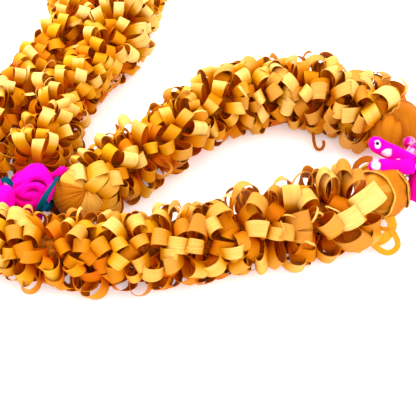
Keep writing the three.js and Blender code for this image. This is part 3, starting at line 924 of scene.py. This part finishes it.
def cloth_roll(pile, start, corner, end, radius, seed, hue=0.3, patch=0.0, spots=(), hole=0.34):
    """A strip rolled into a tube that bends at `corner`; its rounded end closes down to a hole.

    Each spot is a paler place: its point in the plan and its size.
    """
    t, turn = grid_axes((0, 1, 44), (0, TURN * 1.06, 45))
    centre = (1 - t) ** 2 * start + 2 * t * (1 - t) * corner + t**2 * end
    axis = unit(np.gradient(centre, axis=0))
    level = np.cross(axis, unit(np.cross(corner - start, end - corner)))
    lift = np.cross(level, axis)
    close = np.clip((t - 0.88) / 0.12, 0, 1)
    uneven = 1 + 0.04 * np.sin(3 * turn + 6 * t + seed) + 0.04 * np.sin(9 * t + seed)
    out = radius * (0.72 + 0.28 * np.sin(math.pi * np.clip(t * 0.9 + 0.12, 0, 1)) ** 0.5)
    out = out * (1 - (1 - hole) * close**2.2) * uneven + 0.04 * radius * turn / TURN
    points = centre[:, None] + span(
        (out * np.cos(turn), level[:, None]), (0.9 * out * np.sin(turn), lift[:, None]))
    paleness = patch + 0.6 * np.clip(close * 3 - 1.6, 0, 1)
    for spot, size in spots:
        apart = np.linalg.norm(points - plan(*spot), axis=-1)
        paleness = paleness + 0.7 * np.exp(-((apart / size) ** 2))
    add_sheet(pile, points, 1.1, tint=hue, depth=paleness)


def cloth_puff(pile, centre, out, up, radii, outline, creases, hue=0.3, seed=0.0):
    """A puffed fold of cloth: a dome facing `out`, with an uneven outline and creases across it.

    outline holds (angle, size) pairs round the dome, and each crease is its height, tilt, curve, depth
    and the two ends of its span.
    """
    out = unit(out)
    up = square_to(out, up)
    right = np.cross(up, out)
    r, turn = grid_axes((0.03, 1, 40), (0, TURN, 61))
    angles, sizes = zip(*outline)
    size = np.interp(np.degrees(turn) % 360, angles, sizes, period=360)
    size = size * (1 + 0.03 * np.sin(5 * turn + seed))
    u = r * np.cos(turn) * size
    v = r * np.sin(turn) * size
    dome = np.sqrt(np.clip(1 - 0.92 * r**2, 0, 1)) + 0.05 * np.sin(4 * turn + seed) * r**2
    dome = dome + 0.04 * np.sin(6 * u + 2 * v + seed) * np.sin(5 * v - 3 * u + 1 + seed)
    dark = np.zeros_like(u)
    for height, tilt, curve, depth, low, high in creases:
        inside = np.clip((u - low) * 6, 0, 1) * np.clip((high - u) * 6, 0, 1)
        off = v - (height + tilt * u + curve * (u - (low + high) / 2) ** 2)
        groove = np.exp(-((off / 0.1) ** 2)) * inside
        lip = np.exp(-(((off + 0.17) / 0.13) ** 2)) * inside
        dome = dome - depth * groove + 0.35 * depth * lip
        dark = np.maximum(dark, groove * np.clip(depth * 4, 0, 1))
    points = centre + span((radii[0] * u, right), (radii[1] * v, up), (radii[2] * dome, out))
    # The grooves take the crease colour and the lower side leans towards the deep colour: painted shade.
    add_sheet(pile, points, 1.3, tint=hue - 0.4 * v, depth=0.0, crease=dark)


def cloth_binding(pile, middle, axis, patch, radius=8.5, half_length=BOW_HALF_LENGTH, ridges=7, hue=0.5):
    """A bundle of cloth wound round the thread."""
    left = np.cross(UP, axis)
    a, angle = grid_axes((-1, 1, 22), (0, TURN, 61))
    angle = angle + 0.5 * a
    wound = np.abs(np.sin(ridges * (a + 0.12 * angle)))
    out = radius * (0.55 + 0.45 * np.sqrt(np.clip(1 - a**2, 0, 1))) * (0.9 + 0.12 * wound)
    points = middle + span((a * half_length, axis), (out * np.cos(angle), left), (out * np.sin(angle), UP))
    # Darker between the windings: painted shade. The ridges are also paler.
    add_sheet(pile, points, 1.0, tint=hue, depth=patch + 0.2 * wound, crease=0.7 * (1 - wound) ** 3)


def side_right_cloth(pile, origin, axis):
    """The tie at the left of the picture: a large puff, a smaller one beside it and a short roll."""
    cloth_binding(pile, origin, axis, patch=-0.3)
    cloth_puff(
        pile, plan(-113.5, 10.5, 26.5), (-0.05, -0.62, 0.78), (0.12, 0.78, 0.62), (16, 16, 11),
        outline=[(0, 0.82), (40, 0.9), (75, 1.1), (100, 1.05), (140, 0.85), (190, 0.98), (215, 1.15),
                 (250, 1.02), (290, 0.88), (330, 0.78)],
        creases=[(0.44, -0.15, -1.1, 0.5, -0.16, 0.66), (0.02, 0.2, -1.3, 0.2, -0.28, 0.4),
                 (0.5, 0.7, 0.4, 0.12, -0.85, -0.3), (-0.45, -0.1, 0.6, 0.16, -0.7, 0.2)])
    cloth_puff(
        pile, plan(-132, -6, 26), (-0.3, -0.65, 0.7), (0.3, 0.7, 0.6), (9, 16, 9),
        outline=[(0, 0.9), (60, 1.0), (90, 1.1), (180, 1.0), (270, 1.1), (300, 0.9)],
        creases=[(0.1, 0.5, -0.6, 0.25, -0.4, 0.6), (-0.45, -0.3, 0.4, 0.12, -0.6, 0.5)], hue=0.5, seed=2.0)
    cloth_roll(
        pile, plan(-108, 18, 26), plan(-99, 20.5, 31), plan(-93, 21, 37), 2.7, seed=1.0, hue=0.45, patch=-0.3)
    cloth_loops(pile, origin, (
        ((0.5, 0.8, 0.1), (0.1, 0.3, 0.9), 18, 5, 12),
        ((-0.6, 0.7, 0.3), (0.5, 0.5, -0.6), 20, 6, 13),
        ((-0.2, -0.8, -0.5), (0.9, 0.2, 0.2), 15, 5, 14),
    ), patch=-0.3)


def bottom_cloth(pile, origin, axis):
    """The tie at the right of the picture: two rolls side by side, more loops behind, a pale knot."""
    cloth_binding(pile, origin, axis, patch=0.45)
    knot = plan(134.5, 33, 29) + 5 * TOWARDS_VIEW
    tip = plan(108, 43.5, 36) + 5 * TOWARDS_VIEW
    cloth_roll(
        pile, knot + (0, 1.0, 0), tip, tip + 7.5 * TOWARDS_VIEW + (3.0, 0, 0), 5.2, seed=0.3,
        spots=[((118.5, 32, 40), 3.2), ((115.5, 32.5, 41), 2.4), ((111, 33.5, 44), 2.2)])
    tip = plan(107, 26, 33) + 5 * TOWARDS_VIEW
    cloth_roll(
        pile, knot + (0, -3.5, 0), tip, tip + 5.0 * TOWARDS_VIEW + (2.5, 0, 0), 5.2, seed=2.1, hole=0.04,
        spots=[((109, 21, 41), 4.6), ((118, 28.5, 39), 3.0), ((124.5, 28.5, 38), 2.4)])
    for stem, side, length, spread, width, patch in (
        ((-0.1, -0.95, -0.1), (0.9, 0.0, 0.3), 27, 6, 12, -0.3),
        ((0.85, -0.35, 0.35), (0.3, 0.8, -0.4), 22, 6, 12, 0.1),
        ((0.9, 0.4, -0.1), (0.2, 0.2, 0.95), 23, 6, 12, 0.1),
        ((0.1, 0.35, 0.9), (0.9, 0.3, 0.0), 17, 5, 11, 0.25),
    ):
        cloth_loop(pile, origin + (0, -6, 0), stem, side, length, spread, width, patch=patch)
    for x, y, z, stem, side, length, spread, width, patch in (
        (139, 40, 28, (-0.45, -0.35, 0.8), (0.5, 0.6, 0.5), 11, 3.2, 6.0, 0.55),
        (139, 36, 27, (-0.3, -0.75, 0.6), (0.9, -0.2, 0.3), 12, 3.0, 6.5, 0.5),
        (138, 45, 28, (-0.5, 0.3, 0.8), (0.4, 0.8, 0.2), 10, 3.0, 5.5, 0.42),
        (141, 40, 30, (0.1, -0.3, 0.95), (0.9, 0.1, 0.1), 9, 3.0, 6.0, 0.6),
    ):
        cloth_loop(pile, plan(x, y, z), stem, side, length, spread, width, patch=patch, crumple=0.4)


def plain_cloth(shapes):
    """What makes a bow of nothing but folded loops."""
    def build(pile, origin, axis):
        cloth_binding(pile, origin, axis, patch=-0.2)
        cloth_loops(pile, origin, shapes, patch=-0.1)
    return build


BOW_CLOTH = {
    "side_right": side_right_cloth,
    "bottom": bottom_cloth,
    "side_left": plain_cloth([
        ((0.85, 0.05, 0.65), (0.1, 0.95, 0.1), 23, 8, 16), ((0.6, -0.65, 0.25), (0.5, 0.4, 0.7), 22, 7, 14),
        ((-0.2, 0.1, 1.0), (0.9, 0.2, 0.1), 22, 8, 15), ((-0.9, 0.1, 0.4), (0.1, 0.95, 0.1), 23, 8, 15)]),
    "top": plain_cloth([
        ((-0.5, 0.75, 0.5), (0.8, 0.4, 0.1), 22, 7, 14), ((0.55, 0.7, 0.5), (0.8, -0.4, 0.1), 22, 7, 14),
        ((0.0, 0.1, 1.0), (0.9, 0.3, 0.1), 22, 8, 15), ((0.1, -0.8, 0.5), (0.9, 0.1, 0.1), 21, 7, 14)]),
}


def ribbon_path(pile, points, width, side=None, facing=None, thickness=0.7, hue=0.3, depth=-0.4):
    """A ribbon along the points, smoothed: its width points to `side`, or its flat side to `facing`."""
    points = np.array(points, float)
    whole = np.linspace(0, len(points) - 1, 12 * len(points))
    knots = np.arange(len(points))
    path = smooth(np.stack([np.interp(whole, knots, points[:, i]) for i in range(3)], -1), 40, keep=0.5)
    along = unit(np.gradient(path, axis=0))
    across = square_to(along, side) if facing is None else unit(np.cross(along, facing))
    edge = np.linspace(-width / 2, width / 2, 5)
    taper = np.clip(np.minimum(whole, whole[::-1]) * 2.0 + 0.5, 0, 1)[:, None]
    grid = path[:, None] + span((edge * taper, across[:, None]))
    add_sheet(pile, grid, thickness, tint=hue, depth=depth)


# The teal ribbon at the ties in view: paths with their width and the direction of the width. Then, for each
# tie, the directions round the thread of the ribbon's short folded tails.
RIBBON_PATHS = {
    "side_right": [
        ([(-100, 21, 29), (-97.5, 12, 37), (-99.5, 4, 40), (-103.5, -4, 38), (-107.5, -8, 32),
          (-110, -5, 22)], 4.0, (0.75, 0.2, 0.4)),
        ([(-126, 8, 26), (-126, 9, 33), (-130, 12, 37), (-134.5, 12.5, 35), (-135, 10, 31),
          (-130, 6, 28)], 3.6, (0.2, 0.85, 0.3)),
    ],
    "bottom": [([(133, 41, 26), (137, 46, 32), (142, 48, 31), (145, 45, 26)], 5.0, (0.3, -0.6, 0.7))],
}
TAIL_TURNS = {"side_right": (2.6,), "bottom": (0.2, 2.6), "side_left": (0.75, 2.0), "top": (0.75, 2.0)}
COLLAR_RADIUS = 7.5
COLLAR_HALF_LENGTH = 1.8
COLLAR_GAP = 1.4


def make_bow(strand):
    """The tie after a strand: its cloth, and the ribbon beside it."""
    name = strand["bow"]
    at, along = (pair[0] for pair in on_route(np.array([strand["bow_s"]])))
    origin = np.array([*at, AXIS_HEIGHT])
    axis = np.array([*along, 0.0])
    pile = Pile()
    BOW_CLOTH[name](pile, origin, axis)
    cloth_piece = pile.build(f"{name}_cloth", MAGENTA, sharp=70)
    place(cloth_piece, "magenta_cloth", f"{name}_bow")

    pile = Pile()
    beside = origin + axis * (BOW_HALF_LENGTH + COLLAR_GAP)
    cloth_binding(pile, beside, axis, -0.5, COLLAR_RADIUS, COLLAR_HALF_LENGTH, ridges=3, hue=0.4)
    for path, width, side in RIBBON_PATHS.get(name, ()):
        ribbon_path(pile, [plan(*point) for point in path], width, side)
    left = np.cross(UP, axis)
    for turn in TAIL_TURNS[name]:
        stem = math.cos(turn) * left + math.sin(turn) * UP
        side = -math.sin(turn) * left + math.cos(turn) * UP
        cloth_loop(pile, beside, stem, side, 17, 2.0, 5.0, thickness=0.7, crumple=0.2, hue=0.6, patch=-0.5)
    ribbon = pile.build(f"{name}_ribbon", TEAL, sharp=60)
    place(ribbon, "teal_ribbon", f"{name}_collar")


# ---- The thread ----
TWIST_PITCH = 7.0
PLY_RADIUS = 0.5
PLY_OFFSET = 0.45


def make_thread():
    """Two plies of cotton twisted together, all the way round the ring."""
    pile = Pile()
    stations, sides = 720, 9
    s = np.linspace(0, ROUTE_LENGTH, stations, endpoint=False)[:, None]
    turn = s * TURN / TWIST_PITCH
    ring = np.linspace(0, TURN, sides, endpoint=False)[None]
    faces = quads(np.arange(stations * sides).reshape(stations, sides), wrap=(1, 1))
    blank = np.zeros((stations * sides, 3))
    for ply in (0, math.pi):
        level = PLY_OFFSET * np.cos(turn + ply) + PLY_RADIUS * np.cos(ring)
        height = PLY_OFFSET * np.sin(turn + ply) + PLY_RADIUS * np.sin(ring)
        pile.add(near(s + 0 * ring, 0 * (s + ring), level, height), faces, blank[:, :2], blank)
    place(pile.build("thread_plies", COTTON, sharp=180), "cotton", "thread")


# ---- Loose shavings ----
# Each a path in the plan: a hook under the upper strand, an arch on the left bud, shavings in the shade of
# the left tie, curls behind the lower right bud, and rings splayed on the table.
LOOSE_SHAVINGS = {
    "drop_right_broken_curl": [
        dict(width=2.2, side=(0.95, 0.1, 0.25), hue=-0.5, depth=0.8, points=[
            (73, 95, 12), (74.1, 90, 10), (74.5, 80, 7), (75, 73, 5), (76.5, 69, 4), (80, 68.5, 4),
            (82, 72, 6), (81, 74, 8)]),
    ],
    "drop_right_bud_curl": [
        dict(width=11.0, side=(0.25, -0.9, -0.25), hue=0.95, depth=1.0, points=[
            (-90.3, 16.3, 31), (-88.4, 14.9, 37.5), (-85.9, 13.3, 42), (-83.4, 13.0, 43.5),
            (-81.0, 13.2, 43), (-79.0, 13.5, 40.5), (-78.5, 17.0, 32)]),
    ],
    # Dark shavings with low tints and depths: painted shade in the gap beside the left tie.
    "side_right_shaded_loops": [
        dict(width=8.0, side=(0.3, -0.6, 0.6), hue=0.0, depth=0.4, points=[
            (-109, 10, 8), (-105.4, 11.9, 13), (-100.7, 11, 13), (-96.8, 8.4, 10), (-98.3, 5.7, 5)]),
        dict(width=7.0, side=(0.2, -0.6, 0.7), hue=0.1, depth=0.5, points=[
            (-112.8, 18.8, 5), (-107.5, 12.6, 6), (-102.3, 8.3, 7), (-97.8, 1.4, 6)]),
        dict(width=9.0, side=(0.5, 0.85, 0.1), hue=-0.2, depth=0.4, points=[
            (-111.1, 19.6, 6), (-106.1, 16.5, 6), (-101.0, 12.6, 6), (-95.6, 9.9, 4)]),
    ],
    "drop_left_bud_curl": [
        dict(width=4.5, facing=(-0.5, -0.3, 0.8), hue=-0.3, depth=0.6, points=[
            (101, 20, 21), (99.5, 24.3, 24), (97.1, 26.9, 27), (98, 30.5, 30), (101.2, 31.8, 33),
            (104.7, 30.8, 36), (107.4, 27.6, 38)]),
        dict(width=4.0, facing=(-0.3, -0.5, 0.8), hue=0.6, depth=1.0, points=[
            (98.8, 17.2, 24), (98.3, 19.9, 28), (99.8, 22.5, 32), (103.3, 23.3, 36), (107, 23.2, 38)]),
    ],
    "drop_left_splayed_loops": [
        dict(width=6.4, facing=(0.2, -0.62, 0.76), hue=0.6, depth=0.86, points=[
            (108.6, -2.6, 20), (106.7, -6.2, 18), (104.5, -9.1, 15), (103.7, -12.6, 12), (106.3, -15.7, 9.5),
            (110.9, -16.8, 8), (115.8, -13.8, 8.5), (118.9, -10.2, 10), (120.7, -6.5, 13), (118.3, -2.6, 16),
            (115, 0.8, 18)]),
        dict(width=3.8, facing=(-0.2, -0.62, 0.76), hue=0.6, depth=0.86, points=[
            (104.4, -17, 10), (110.8, -21.4, 5.5), (115.4, -23.1, 4), (119.5, -22.4, 4), (123.1, -19.5, 5),
            (123.8, -16.6, 7), (122.2, -13.1, 9), (119.2, -9.5, 12)]),
        dict(width=2.8, facing=(0, -0.62, 0.76), hue=0.3, depth=0.7, points=[
            (108.2, -5.2, 15), (110.1, -7.8, 13), (113.4, -9.5, 12), (117.9, -9.5, 12)]),
    ],
}
# Those that lie in the shade, and take the darker bud veneer as painted shade.
SHADED_SHAVINGS = {"side_right_shaded_loops", "drop_left_bud_curl", "drop_right_broken_curl"}


def make_loose_shavings():
    for name, shavings in LOOSE_SHAVINGS.items():
        pile = Pile()
        for shaving in shavings:
            path = [plan(*point) for point in shaving["points"]]
            look = {key: value for key, value in shaving.items() if key != "points"}
            ribbon_path(pile, path, thickness=0.5, **look)
        material = BUD_VENEER if name in SHADED_SHAVINGS else SHAVING
        place(pile.build(name, material, sharp=60), "shaving")


for strand in STRANDS:
    for end in strand["buds"]:
        make_bud(strand, end)
    make_bow(strand)
make_loose_shavings()
for strand in STRANDS:
    make_strand(strand)
make_thread()


# ---- Floor, light and camera ----
CAMERA_DISTANCE = 700.0
CAMERA_ELEVATION = math.radians(50)
CAMERA_NEAREST = 0.05
TARGET = np.array([SHIFT[0], SHIFT[1], 22.0])
IMAGE_PIXELS = 416
MM_PER_PIXEL = 0.65
SENSOR = 36.0
FLOOR_HALF_SIZE = 3000.0
FLOOR_DROP = 0.05
# Each light: its name, its place, its size in metres and its power in watts.
LIGHTS = [("key", (-330, 380, 600), 0.45, 8.0), ("fill", (500, -600, 700), 0.9, 3.4)]
SKY_STRENGTH = 1.65


def make_floor():
    steps = 24
    grid = np.linspace(-FLOOR_HALF_SIZE, FLOOR_HALF_SIZE, steps)
    x, y = np.meshgrid(grid, grid)
    vertices = np.stack([x, y, np.full_like(x, -FLOOR_DROP)], -1).reshape(-1, 3)
    faces = quads(np.arange(steps * steps).reshape(steps, steps))
    white = Nodes(
        "white_floor", 0.9, Base_Color=(0.95, 0.95, 0.95, 1.0), Specular_IOR_Level=0.1,
        Emission_Color=(1.0, 1.0, 1.0, 1.0), Emission_Strength=0.25)
    make_object("floor", vertices, faces, white.material)


def aim(obj, place_mm):
    """Puts a lamp or camera at a place, pointed at the garland's middle."""
    obj.location = Vector(place_mm) * MM
    obj.rotation_euler = (Vector(TARGET * MM) - obj.location).to_track_quat("-Z", "Y").to_euler()
    return add_to_scene(obj)


def make_light(name, place_mm, size, power):
    light = bpy.data.lights.new(name, "AREA")
    light.energy = power
    light.size = size
    aim(bpy.data.objects.new(name, light), place_mm)


def make_camera():
    camera = bpy.data.cameras.new("camera")
    camera.sensor_width = SENSOR
    camera.lens = SENSOR * CAMERA_DISTANCE / MM_PER_PIXEL / IMAGE_PIXELS
    camera.clip_start = CAMERA_NEAREST
    back = np.array([0.0, -math.cos(CAMERA_ELEVATION), math.sin(CAMERA_ELEVATION)])
    obj = bpy.data.objects.new("camera", camera)
    bpy.context.scene.camera = aim(obj, TARGET + back * CAMERA_DISTANCE)


def make_sky():
    world = bpy.data.worlds.new("studio")
    world.use_nodes = True
    background = world.node_tree.nodes["Background"]
    background.inputs["Color"].default_value = (1, 1, 1, 1)
    background.inputs["Strength"].default_value = SKY_STRENGTH
    bpy.context.scene.world = world
    bpy.context.scene.view_settings.view_transform = "Standard"


make_floor()
for light in LIGHTS:
    make_light(*light)
make_camera()
make_sky()
